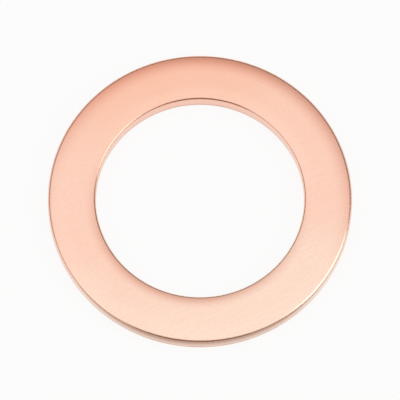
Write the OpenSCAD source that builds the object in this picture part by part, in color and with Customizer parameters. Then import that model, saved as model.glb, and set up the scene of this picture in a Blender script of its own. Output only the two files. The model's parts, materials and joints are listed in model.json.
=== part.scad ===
// Copper crush washer: a flat ring of soft copper that seals under a banjo bolt or a plug.
// One stroke of a compound die cuts the rim and the bore together, so both upper edges are
// rolled over by the die and both walls draw back at the foot, where the metal tore.
// The ring lies flat: its axis is Z, its lower face is at Z = 0 and lengths are in millimetres.

/* [Ring] */
// Outside diameter of the ring
outer_d = 14.9; // [14:0.1:30]
// Diameter of the bore, for an M10 bolt
bore_d = 10.2; // [4:0.1:11.2]
// Thickness of the strip that the ring is cut from
thickness = 1; // [0.6:0.05:3]

/* [Rolled edge of the rim] */
// Width of the shoulder that the die rolls over
rim_roll_w = 0.55; // [0.35:0.05:0.65]
// Fall of that shoulder from the upper face to the wall
rim_roll_drop = 0.13; // [0.05:0.01:0.2]
// Radius between that shoulder and the wall
rim_edge_r = 0.2; // [0.05:0.01:0.25]

/* [Rolled edge of the bore] */
// Width of the shoulder that the punch rolls over
bore_roll_w = 0.4; // [0.3:0.05:0.65]
// Fall of that shoulder from the upper face to the wall
bore_roll_drop = 0.09; // [0.05:0.01:0.2]
// Radius between that shoulder and the wall
bore_edge_r = 0.15; // [0.05:0.01:0.2]

/* [Both rolled edges] */
// Share of a shoulder, short of its edge round, that eases into the upper face in one wide arc
roll_share = 0.9; // [0.5:0.05:0.95]

/* [Torn lower edges] */
// Height of the torn band at the foot of each wall
tear_h = 0.28; // [0.1:0.02:0.4]
// How far the torn band draws back from the wall
tear_w = 0.04; // [0.01:0.01:0.1]
// Radius that tumbling leaves on the lower edges
foot_r = 0.05; // [0.01:0.01:0.1]

/* [Hidden] */
$fn = 180;
copper = [0.98, 0.80, 0.70];
outer_r = outer_d / 2;
bore_r = bore_d / 2;
// Waste reaches this far past the metal that it is cut from
spare = 1;
// Rounds are drawn this much larger, so that they cross the edges they meet
overlap = 0.00001;

function unit(v) = v / norm(v);

// What a round of radius r takes off the corner at tip, between its neighbours before and after.
module corner_waste(before, tip, after, r) {
    to_before = unit(before - tip);
    to_after = unit(after - tip);
    half_angle = acos(to_before * to_after) / 2;
    to_centre = unit(to_before + to_after);
    centre = tip + to_centre * r / sin(half_angle);
    tangent = r / tan(half_angle);
    touch_before = tip + to_before * tangent;
    touch_after = tip + to_after * tangent;
    difference() {
        polygon([centre, 2 * touch_before - centre, tip - to_centre * r, 2 * touch_after - centre]);
        translate(centre) circle(r + overlap);
    }
}

// What is cut off one square-cornered wall that stands on x = 0, with the copper at x < 0.
module cut_waste(roll_w, roll_drop, edge_r) {
    foot = [-tear_w, 0];
    tear_top = [0, tear_h];
    wall_top = [0, thickness - roll_drop];
    shoulder = [-roll_w, thickness];

    // The edge round takes the end of the shoulder, and the wide arc its share of what is left
    roll_angle = atan2(roll_drop, roll_w);
    edge_reach = edge_r * tan((90 - roll_angle) / 2);
    roll_reach = roll_share * (norm([roll_w, roll_drop]) - edge_reach);
    roll_r = roll_reach / tan(roll_angle / 2);

    polygon([foot, tear_top, [spare, tear_h], [spare, -spare], [-tear_w, -spare]]);
    polygon([wall_top, shoulder, [-roll_w, thickness + spare], [spare, thickness + spare], [spare, wall_top.y]]);
    corner_waste(foot - [spare, 0], foot, tear_top, foot_r);
    corner_waste(tear_top, wall_top, shoulder, edge_r);
    corner_waste(wall_top, shoulder, shoulder - [spare, 0], roll_r);
}

module copper_washer() {
    color(copper)
        rotate_extrude()
            difference() {
                translate([bore_r, 0])
                    square([outer_r - bore_r, thickness]);
                translate([outer_r, 0])
                    cut_waste(rim_roll_w, rim_roll_drop, rim_edge_r);
                translate([bore_r, 0])
                    mirror([1, 0])
                        cut_waste(bore_roll_w, bore_roll_drop, bore_edge_r);
            }
}

copper_washer();
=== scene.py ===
# %% [markdown]
# # A copper crush washer
#
# A crush washer is one flat ring of soft copper. A press cuts it out of strip with a compound
# die, it is annealed, and tumbling leaves it clean and satin. It is a plain thing, so all of
# its look is in three places: the true section of its edges, the finish of the copper, and
# what the copper mirrors.
#
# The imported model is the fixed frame. It gives the ring's sizes and the place where it lies.

# %% Load the frame
import json
import math

import bmesh
import bpy
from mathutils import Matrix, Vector


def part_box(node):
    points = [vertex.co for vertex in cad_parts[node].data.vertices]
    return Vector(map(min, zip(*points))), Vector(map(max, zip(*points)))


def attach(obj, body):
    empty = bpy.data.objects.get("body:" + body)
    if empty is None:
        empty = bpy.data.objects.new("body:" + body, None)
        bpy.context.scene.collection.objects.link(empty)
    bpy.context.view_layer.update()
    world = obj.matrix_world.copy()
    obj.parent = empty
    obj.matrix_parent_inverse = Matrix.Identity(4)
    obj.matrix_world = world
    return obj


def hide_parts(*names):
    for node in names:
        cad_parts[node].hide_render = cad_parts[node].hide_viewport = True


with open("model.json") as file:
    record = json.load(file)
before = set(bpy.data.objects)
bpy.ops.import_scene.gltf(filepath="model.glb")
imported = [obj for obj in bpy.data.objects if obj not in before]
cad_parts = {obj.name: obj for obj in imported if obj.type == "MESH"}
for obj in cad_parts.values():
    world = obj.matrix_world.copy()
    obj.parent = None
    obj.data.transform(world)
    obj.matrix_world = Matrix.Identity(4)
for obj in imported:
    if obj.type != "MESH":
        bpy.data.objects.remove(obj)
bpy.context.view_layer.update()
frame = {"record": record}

low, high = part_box("copper_washer")
bore_mount = next(mount for mount in frame["record"]["mounts"] if mount["name"] == "bore")

MM = 0.001
outer_radius = high.x
bore_radius = bore_mount["dims"]["r_mm"] * MM
thickness = high.z - low.z
band_width = outer_radius - bore_radius
print(f"ring {2 * outer_radius / MM:.2f} x {2 * bore_radius / MM:.2f} x {thickness / MM:.2f} mm")

# %% [markdown]
# ## The camera
#
# The ring is seen from high up in front, as on a sheet of goods laid out on a table. A round
# thing shows the angle by its own outline: the height of the ellipse over its width is the
# sine of the camera's elevation. A long lens, a quarter of a metre away, keeps the far edge
# nearly as large as the near one.

# %% Camera
camera_elevation = math.radians(71)
camera_distance = 0.25
ring_share_of_picture = 0.76
sensor_width_mm = 36

target = Vector((0, 0, thickness / 2))
towards_camera = Vector((0, -math.cos(camera_elevation), math.sin(camera_elevation)))
picture_width = 2 * outer_radius / ring_share_of_picture

camera_data = bpy.data.cameras.new("camera")
camera_data.sensor_width = sensor_width_mm
camera_data.lens = sensor_width_mm * camera_distance / picture_width
camera_data.clip_start = camera_distance / 10
camera = bpy.data.objects.new("camera", camera_data)
camera.location = target + towards_camera * camera_distance
camera.rotation_euler = (-towards_camera).to_track_quat("-Z", "Y").to_euler()
bpy.context.scene.collection.objects.link(camera)
bpy.context.scene.camera = camera
print(f"camera {math.degrees(camera_elevation):.0f} degrees up, lens {camera_data.lens:.0f} mm")

# %% [markdown]
# ## The section of the ring
#
# A punched edge has four stretches. Where the die presses on the strip, the upper face rolls
# over in a wide, shallow round. Below it the tool shears a straight, smooth wall. At the foot
# the metal tears and draws back a little, and tumbling takes the sharpness off the last
# corner. The bore and the rim are cut in one stroke, so both roll over on the same face, the
# rim a little more than the bore.
#
# The section could be a list of points, but then its rounds would be lists of numbers. Here
# a pen draws it with two moves: a line extrudes the last vertex straight on, and an arc spins
# it about a centre beside it. The heading carries over, so each stretch leaves the last one
# without a kink, except where a corner turns it.

# %% A pen that draws a section
class SectionPen:
    """Draws edges in the X-Z plane, from a start and along a heading in radians."""

    def __init__(self, mesh, start):
        self.mesh = mesh
        self.tip = mesh.verts.new(start)
        self.heading = 0.0

    def line(self, length, pieces):
        step = Vector((math.cos(self.heading), 0, math.sin(self.heading))) * length / pieces
        for _ in range(pieces):
            made = bmesh.ops.extrude_vert_indiv(self.mesh, verts=[self.tip])
            bmesh.ops.translate(self.mesh, verts=made["verts"], vec=step)
            self.tip = made["verts"][0]

    def arc(self, radius, turn, steps):
        to_left = Vector((-math.sin(self.heading), 0, math.cos(self.heading)))
        made = bmesh.ops.spin(
            self.mesh,
            geom=[self.tip],
            cent=self.tip.co + to_left * radius,
            axis=(0, -1, 0),
            angle=turn,
            steps=steps,
        )
        self.tip = next(item for item in made["geom_last"] if isinstance(item, bmesh.types.BMVert))
        self.heading += turn

    def corner(self, turn):
        self.heading += turn


# %% [markdown]
# A round takes the same length off both sides of the corner that it replaces: its radius times
# the tangent of half the turn. That is all the geometry the edges need. The rim and the bore
# share the torn foot, and each has a rolled edge of its own size.

# %% The torn foot
tear_height = 0.28 * MM
tear_width = 0.04 * MM
foot_radius = 0.05 * MM

quarter_turn = math.pi / 2
tear_angle = math.atan2(tear_width, tear_height)
foot_turn = quarter_turn - tear_angle
foot_cut = foot_radius * math.tan(foot_turn / 2)
print(f"torn foot leans back {math.degrees(tear_angle):.1f} degrees")

# %% The moves along one cut edge
# The wide arc takes this share of the shoulder, and the rest of it stays straight
roll_share = 0.9

# How many edges each stretch is cut up into
foot_steps = 8
tear_pieces = 6
wall_pieces = 8
edge_steps = 16
shoulder_pieces = 4
roll_steps = 12


def cut_edge(pen, roll_width, roll_drop, edge_radius):
    """The moves from the lower face up to the upper one, and how much of the upper one they take."""
    roll_angle = math.atan2(roll_drop, roll_width)
    edge_turn = quarter_turn - roll_angle
    edge_cut = edge_radius * math.tan(edge_turn / 2)
    shoulder = math.hypot(roll_width, roll_drop) - edge_cut
    roll_cut = roll_share * shoulder
    moves = [
        (pen.arc, foot_radius, foot_turn, foot_steps),
        (pen.line, math.hypot(tear_width, tear_height) - foot_cut, tear_pieces),
        (pen.corner, tear_angle),
        (pen.line, thickness - roll_drop - tear_height - edge_cut, wall_pieces),
        (pen.arc, edge_radius, edge_turn, edge_steps),
        (pen.line, shoulder - roll_cut, shoulder_pieces),
        (pen.arc, roll_cut / math.tan(roll_angle / 2), roll_angle, roll_steps),
    ]
    return moves, roll_width + roll_cut


# %% [markdown]
# The pen starts at the rim's foot and goes once round. Up the rim it follows the moves in
# order, and down the bore it follows them in reverse: every arc turns left either way, so the
# same moves draw the mirror image.

# %% The whole section
upper_face_pieces = 12
lower_face_pieces = 8

ring_mesh = bmesh.new()
start = Vector((outer_radius - tear_width - foot_cut, 0, low.z))
pen = SectionPen(ring_mesh, start)
rim_moves, rim_shoulder = cut_edge(
    pen,
    roll_width=0.55 * MM,
    roll_drop=0.13 * MM,
    edge_radius=0.20 * MM,
)
bore_moves, bore_shoulder = cut_edge(
    pen,
    roll_width=0.40 * MM,
    roll_drop=0.09 * MM,
    edge_radius=0.15 * MM,
)
for move, *sizes in rim_moves:
    move(*sizes)
pen.line(band_width - rim_shoulder - bore_shoulder, upper_face_pieces)
for move, *sizes in reversed(bore_moves):
    move(*sizes)
pen.line(band_width - 2 * (tear_width + foot_cut), lower_face_pieces)
print(f"section closes within {(pen.tip.co - start).length / MM:.6f} mm")

# %% [markdown]
# ## The ring
#
# A full spin about the bore's axis sweeps the section into the ring. A Screw modifier would do
# the same, but then the mesh would not be there to measure or to export as it is. The section's
# two ends are merged first, and the spin merges its last copy with the first one, so no seam is
# left either way.

# %% Sweep the ring
ring_steps = 384
merge_distance = 1e-8

bmesh.ops.remove_doubles(ring_mesh, verts=ring_mesh.verts[:], dist=merge_distance)
bmesh.ops.spin(
    ring_mesh,
    geom=ring_mesh.verts[:] + ring_mesh.edges[:],
    cent=(0, 0, 0),
    axis=(0, 0, 1),
    angle=2 * math.pi,
    steps=ring_steps,
    use_merge=True,
)
bmesh.ops.recalc_face_normals(ring_mesh, faces=ring_mesh.faces[:])
for face in ring_mesh.faces:
    face.smooth = True

open_edges = sum(not edge.is_manifold for edge in ring_mesh.edges)
volume = ring_mesh.calc_volume(signed=True)
print(f"ring mesh: {len(ring_mesh.faces)} faces, {open_edges} open edges, {volume / MM ** 3:.2f} mm3")

# %% [markdown]
# The spin can number what it makes in another order in each run. The ring looks the same, but
# a file of it would not be. So its vertices, edges and faces are numbered by where they lie:
# step by step round the ring and, at each step, once round the section.

# %% Number the ring
middle_radius = (outer_radius + bore_radius) / 2
middle_height = (low.z + high.z) / 2


def number_at(place):
    """Grows by a full turn with each half step round the ring, and by less round the section."""
    half_step = round(2 * ring_steps * math.atan2(place.y, place.x) / math.tau)
    off_middle = math.hypot(place.x, place.y) - middle_radius
    return math.tau * half_step + math.atan2(place.z - middle_height, off_middle)


ring_mesh.verts.sort(key=lambda vert: number_at(vert.co))
ring_mesh.edges.sort(key=lambda edge: number_at((edge.verts[0].co + edge.verts[1].co) / 2))
ring_mesh.faces.sort(key=lambda face: number_at(face.calc_center_median()))
print(f"numbered {len(ring_mesh.verts)} vertices and {len(ring_mesh.faces)} faces")

# %% Place the ring
ring_data = bpy.data.meshes.new("copper_ring")
ring_mesh.to_mesh(ring_data)
ring_mesh.free()
ring = bpy.data.objects.new("copper_ring", ring_data)
bpy.context.scene.collection.objects.link(ring)
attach(ring, "root")
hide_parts("copper_washer")
print(f"{ring.name} rides on root and stands for copper_washer")

# %% [markdown]
# ## Arithmetic on shader values
#
# A finish is a handful of masks and noises that are added, multiplied and mixed. Wiring each
# Math node by hand hides the thought behind it, so one small class wraps a socket and lets
# Python's own operators add the nodes.

# %% Shader values
class Flow:
    """One socket of a node tree. Arithmetic on it adds Math nodes."""

    def __init__(self, socket):
        self.socket = socket

    @classmethod
    def node(cls, tree, kind, settings, inputs, output=0):
        """Adds a node: its settings come first, then the values or links of its sockets."""
        made = tree.nodes.new("ShaderNode" + kind)
        for name, value in settings.items():
            setattr(made, name, value)
        for name, value in inputs.items():
            if isinstance(value, Flow):
                tree.links.new(value.socket, made.inputs[name])
            else:
                made.inputs[name].default_value = value
        return cls(made.outputs[output])

    def maths(self, operation, first, second=0.0):
        tree = self.socket.id_data
        return Flow.node(tree, "Math", {"operation": operation}, {0: first, 1: second})

    def __add__(self, other):
        return self.maths("ADD", self, other)

    def __sub__(self, other):
        return self.maths("SUBTRACT", self, other)

    def __rsub__(self, other):
        return self.maths("SUBTRACT", other, self)

    def __mul__(self, other):
        return self.maths("MULTIPLY", self, other)

    def __abs__(self):
        return self.maths("ABSOLUTE", self)

    __radd__ = __add__
    __rmul__ = __mul__


# %% [markdown]
# ## Satin copper
#
# Annealed and tumbled copper is a soft mirror. Its colour is that of the metal itself, so it
# goes to Base Color at Metallic 1, and the satin is Roughness. One colour all over would look
# like paint, and an image texture would fix the detail to one size, so the changes come from
# the place on the ring. A smooth step makes a mask out of a place, and a noise makes it uneven.

# %% Masks and noise
def ramp(tree, value, start, end):
    """A smooth step: 0 where the value is at start, and 1 where it is at end."""
    settings = {"interpolation_type": "SMOOTHSTEP"}
    inputs = {"Value": value, "From Min": start, "From Max": end}
    return Flow.node(tree, "MapRange", settings, inputs)


def noise(tree, place, feature_size, detail=2.0, seed=0.0):
    """Soft noise, from 0 to 1, with features of about that size in metres."""
    inputs = {"Vector": place, "W": seed, "Scale": 1 / feature_size, "Detail": detail}
    return Flow.node(tree, "TexNoise", {"noise_dimensions": "4D"}, inputs)


def swing(value):
    """A value from 0 to 1 as a swing about zero, from -0.5 to 0.5."""
    return value - 0.5


# %% [markdown]
# Two masks tell the finishes apart. A point is on a wall if it is as far from the middle of the
# band as the rim or the bore. The torn foot is the low part of a wall, and a slow noise moves
# its upper line, because metal doesn't tear straight.

# %% Where on the ring
wall_mask_start = band_width / 2 - 0.09 * MM
wall_mask_full = band_width / 2 - 0.05 * MM
tear_wave = 0.5 * MM
tear_waver = 0.2 * MM
tear_blur = 0.02 * MM

copper = bpy.data.materials.new("satin_copper")
copper.use_nodes = True
tree = copper.node_tree
shader = tree.nodes["Principled BSDF"]

place = Flow.node(tree, "TexCoord", {}, {}, "Object")
height = Flow.node(tree, "SeparateXYZ", {}, {"Vector": place}, "Z")
level_place = Flow.node(tree, "VectorMath", {"operation": "MULTIPLY"}, {0: place, 1: (1, 1, 0)})
radius = Flow.node(tree, "VectorMath", {"operation": "LENGTH"}, {0: level_place}, "Value")
on_wall = ramp(tree, abs(radius - middle_radius), wall_mask_start, wall_mask_full)
tear_line = tear_height + swing(noise(tree, place, tear_wave)) * tear_waver
torn = on_wall * ramp(tree, height - tear_line, tear_blur, -tear_blur)
print(f"wall mask from {wall_mask_start / MM:.3f} mm off the middle of the band")

# %% [markdown]
# Light and shade are painted into the colour. The front right of the ring is painted paler, as
# if lit, and the back left a warmer, darker orange, as if in shade. A straight ramp across it
# would look like a printed blend, so a cloud of soft noise shifts the ramp. Colours go through a
# Mix node, because a Math node would turn them grey.

# %% Directions and colours
def along(tree, vector, axis):
    """How far a vector reaches along an axis."""
    settings = {"operation": "DOT_PRODUCT"}
    return Flow.node(tree, "VectorMath", settings, {0: vector, 1: axis}, "Value")


def mix_colour(tree, share, first, second):
    """From the first colour at share 0 to the second at share 1."""
    # A Mix node has sockets for numbers and vectors too, so those for colours go by their place
    colour_a, colour_b, colour_out = 6, 7, 2
    inputs = {0: share, colour_a: first, colour_b: second}
    return Flow.node(tree, "Mix", {"data_type": "RGBA"}, inputs, colour_out)


# %% Tint, with painted light and shade
lit_side_copper = (0.980, 0.742, 0.607, 1)
pink_copper = (0.977, 0.656, 0.527, 1)
shaded_side_copper = (0.966, 0.560, 0.410, 1)
lit_side = Vector((0.26, -0.97, 0)) / outer_radius
shaded_to_pink = (-1.1, -0.1)
pink_to_lit = (0.15, 0.85)
cloud_size = 5 * MM
cloud_seed = 477.0

cloud = noise(tree, place, cloud_size, seed=cloud_seed)
# Painted light and shade, made uneven by the cloud: paler towards the front right, darker orange
# towards the back left
across = along(tree, place, lit_side) + swing(cloud)
painted_light_tint = mix_colour(tree, ramp(tree, across, *shaded_to_pink), shaded_side_copper, pink_copper)
painted_light_tint = mix_colour(tree, ramp(tree, across, *pink_to_lit), painted_light_tint, lit_side_copper)
print(f"tint: {len(tree.nodes)} nodes so far")

# %% [markdown]
# Rolling leaves faint lines along the strip, which run straight across the ring, and tumbling
# peens them over with fine dimples. A noise that is drawn out twentyfold along one direction
# makes the lines. The sheared wall is scored along its height by the die, so its noise leaves
# the height out, and the torn foot is grainy. One value, marks, holds whichever applies.

# %% Marks
strip_turn = (0, 0, math.radians(25))
strip_stretch = (20, 1, 1)
line_width = 0.11 * MM
dimple_width = 0.16 * MM
score_width = 0.10 * MM
crumb_width = 0.12 * MM
line_share = 0.6

strip_inputs = {"Vector": place, "Rotation": strip_turn, "Scale": strip_stretch}
strip_place = Flow.node(tree, "Mapping", {"vector_type": "TEXTURE"}, strip_inputs)
rolled = noise(tree, strip_place, line_width)
tumbled = noise(tree, place, dimple_width, detail=0.0)
scored = noise(tree, level_place, score_width)
crumbled = noise(tree, place, crumb_width, detail=4.0)
marks = rolled * line_share + tumbled * (1 - line_share)
marks = marks + on_wall * (scored - marks)
marks = marks + torn * (crumbled - marks)
print(f"marks: {len(tree.nodes)} nodes so far")

# %% [markdown]
# The same marks dull the colour, change the roughness and dent the surface, all by very
# little, so that the face stays smooth from a step away and shows its grain close up. The
# torn foot takes far more of each.

# %% Dulled colour
dull_copper = (0.800, 0.470, 0.350, 1)
high_mark = 0.65
deep_mark = 0.35
mark_dulling = 0.16
wall_dulling = 0.04
torn_dulling = 0.5

deep = ramp(tree, marks, high_mark, deep_mark)
dulled = deep * (mark_dulling + on_wall * wall_dulling) + torn * torn_dulling
colour = mix_colour(tree, dulled, painted_light_tint, dull_copper)
tree.links.new(colour.socket, shader.inputs["Base Color"])
shader.inputs["Metallic"].default_value = 1.0
print(f"colour: {len(tree.nodes)} nodes so far")

# %% Satin
satin = 0.25
mark_roughness = 0.14
torn_roughness = 0.22
mark_depth = 0.001 * MM
wall_relief = 0.2
torn_relief = 2.0

roughness = satin + swing(marks) * mark_roughness + torn * torn_roughness
relief = swing(marks) * (1.0 + on_wall * wall_relief + torn * torn_relief)
bump = Flow.node(tree, "Bump", {}, {"Strength": 1.0, "Distance": mark_depth, "Height": relief})
tree.links.new(roughness.socket, shader.inputs["Roughness"])
tree.links.new(bump.socket, shader.inputs["Normal"])
ring.data.materials.append(copper)
print(f"copper finish: {len(tree.nodes)} nodes")

# %% [markdown]
# ## The floor
#
# The ring lies on a sheet of white paper. One plane is enough, a hair below the ring so that
# the two never share a surface.

# %% Floor
floor_half = 0.6
floor_gap = 0.005 * MM

floor_mesh = bmesh.new()
bmesh.ops.create_grid(floor_mesh, x_segments=1, y_segments=1, size=floor_half)
bmesh.ops.translate(floor_mesh, verts=floor_mesh.verts[:], vec=(0, 0, low.z - floor_gap))
floor_data = bpy.data.meshes.new("floor")
floor_mesh.to_mesh(floor_data)
floor_mesh.free()
floor = bpy.data.objects.new("floor", floor_data)
bpy.context.scene.collection.objects.link(floor)
print(f"floor {2 * floor_half:.1f} m wide")

# %% [markdown]
# A bright lamp on the paper would also wash out the copper, so the paper itself glows for the
# camera, and a little less for what the copper mirrors. The rest of it is plain pale paper,
# which takes the ring's soft shadow. Close in front of the ring, a painted reflection darkens
# the paper's glow towards a dark card's colour, only for what the copper mirrors. That paints
# shade on the top of the near wall under its edge.

# %% Card in front, a painted reflection in the paper
dark_card = (0.26, 0.16, 0.13, 1)
painted_card_share = 0.66
card_start = outer_radius + 0.05 * MM
card_full = outer_radius + 0.30 * MM
card_sides = 0.6 * outer_radius

paper = bpy.data.materials.new("white_paper")
paper.use_nodes = True
tree = paper.node_tree
tree.nodes.remove(tree.nodes["Principled BSDF"])
mirrored = Flow.node(tree, "LightPath", {}, {}, "Is Glossy Ray")
spot = Flow.node(tree, "TexCoord", {}, {}, "Object")
from_axis = Flow.node(tree, "VectorMath", {"operation": "LENGTH"}, {0: spot}, "Value")
ahead = along(tree, spot, (0, -1, 0))
clear_of_rim = ramp(tree, from_axis, card_start, card_full)
in_front = ramp(tree, ahead, card_sides, outer_radius)
# A painted dark reflection: in front of the ring the paper's glow darkens towards the card's colour,
# for glossy rays only
painted_card_reflection = clear_of_rim * in_front * mirrored * painted_card_share
print(f"card in front: {len(tree.nodes)} nodes")

# %% Paper
white_paper = (1, 1, 1, 1)
matt_paper = (0.95, 0.95, 0.95, 1)
seen_share = 0.90
mirror_share = 0.80

seen = Flow.node(tree, "LightPath", {}, {}, "Is Camera Ray")
through = Flow.node(tree, "LightPath", {}, {}, "Is Transmission Ray")
glow = seen * seen_share + (mirrored + through) * mirror_share
# The paper's glow takes the painted dark reflection in front of the ring
paper_light = mix_colour(tree, painted_card_reflection, white_paper, dark_card)
matt = Flow.node(tree, "BsdfDiffuse", {}, {"Color": matt_paper})
white = Flow.node(tree, "Emission", {}, {"Color": paper_light, "Strength": 1.0})
surface = Flow.node(tree, "MixShader", {}, {0: glow, 1: matt, 2: white})
tree.links.new(surface.socket, tree.nodes["Material Output"].inputs["Surface"])
floor.data.materials.append(paper)
print(f"paper: {len(tree.nodes)} nodes")

# %% [markdown]
# ## The studio around it
#
# A metal shows what surrounds it, so the studio is part of its look. One lamp alone would
# leave copper black between its highlights. Here a bright ceiling makes the flat face pale.
# Lower down the walls are warm and then dim, so the rolled edges, which mirror them, darken
# softly, and the last round of each edge draws a fine brown line. A dark card in front, low
# under the camera, makes the line on the near edge the strongest. Up to just above the horizon
# the white table goes on, so that an eye-level view has a white background too.

# %% World colours
ceiling = (1.05, 1.05, 1.05, 1)
warm_wall = (0.82, 0.58, 0.52, 1)
dim_wall = (0.16, 0.16, 0.16, 1)
white_table = (0.970, 0.966, 0.962, 1)

world = bpy.data.worlds.new("studio")
world.use_nodes = True
bpy.context.scene.world = world
tree = world.node_tree
background = tree.nodes["Background"]
print(f"studio: {len(tree.nodes)} nodes to start with")

# %% World
ceiling_axis = Vector((-0.15, -0.2, 1.0)).normalized()
card_axis = Vector((-0.05, -0.90, 0.42)).normalized()
up = (0, 0, 1)
dim_to_warm = (0.15, 0.68)
warm_to_ceiling = (0.50, 0.88)
card_outline = (0.81, 0.88)
table_end = (0.050, 0.044)

direction = Flow.node(tree, "TexCoord", {}, {}, "Generated")
rise = along(tree, direction, ceiling_axis)
studio = mix_colour(tree, ramp(tree, rise, *dim_to_warm), dim_wall, warm_wall)
studio = mix_colour(tree, ramp(tree, rise, *warm_to_ceiling), studio, ceiling)
on_card = ramp(tree, along(tree, direction, card_axis), *card_outline)
studio = mix_colour(tree, on_card, studio, dark_card)
on_table = ramp(tree, along(tree, direction, up), *table_end)
studio = mix_colour(tree, on_table, studio, white_table)
tree.links.new(studio.socket, background.inputs["Color"])
background.inputs["Strength"].default_value = 1.0
print(f"studio: {len(tree.nodes)} nodes")

# %% [markdown]
# Two softboxes, one on each side, put a pale glint on the edges that face them. A point lamp
# would make it hard and small. An area lamp's power is set from its radiance, so that its
# strength compares with that of the paper and the walls.

# %% Softboxes
softbox_distance = 0.25
softbox_size = 0.18
softbox_rise = math.radians(32)


def softbox(name, azimuth, radiance):
    """A square soft light of that radiance, where 1 is as bright as white paper."""
    data = bpy.data.lights.new(name, "AREA")
    data.shape = "SQUARE"
    data.size = softbox_size
    data.energy = radiance * math.pi * softbox_size ** 2
    lamp = bpy.data.objects.new(name, data)
    heading = Vector((math.cos(azimuth), math.sin(azimuth), math.tan(softbox_rise))).normalized()
    lamp.location = target + heading * softbox_distance
    lamp.rotation_euler = (-heading).to_track_quat("-Z", "Y").to_euler()
    lamp.visible_camera = False
    bpy.context.scene.collection.objects.link(lamp)
    print(f"{name}: {data.energy:.3f} W")


softbox("left_softbox", math.radians(200), radiance=0.2)
softbox("right_softbox", math.radians(345), radiance=1.4)

# %% [markdown]
# ## Colour view
#
# Colours are shown as they are written, with no film look.

# %% Finish
bpy.context.scene.view_settings.view_transform = "Standard"
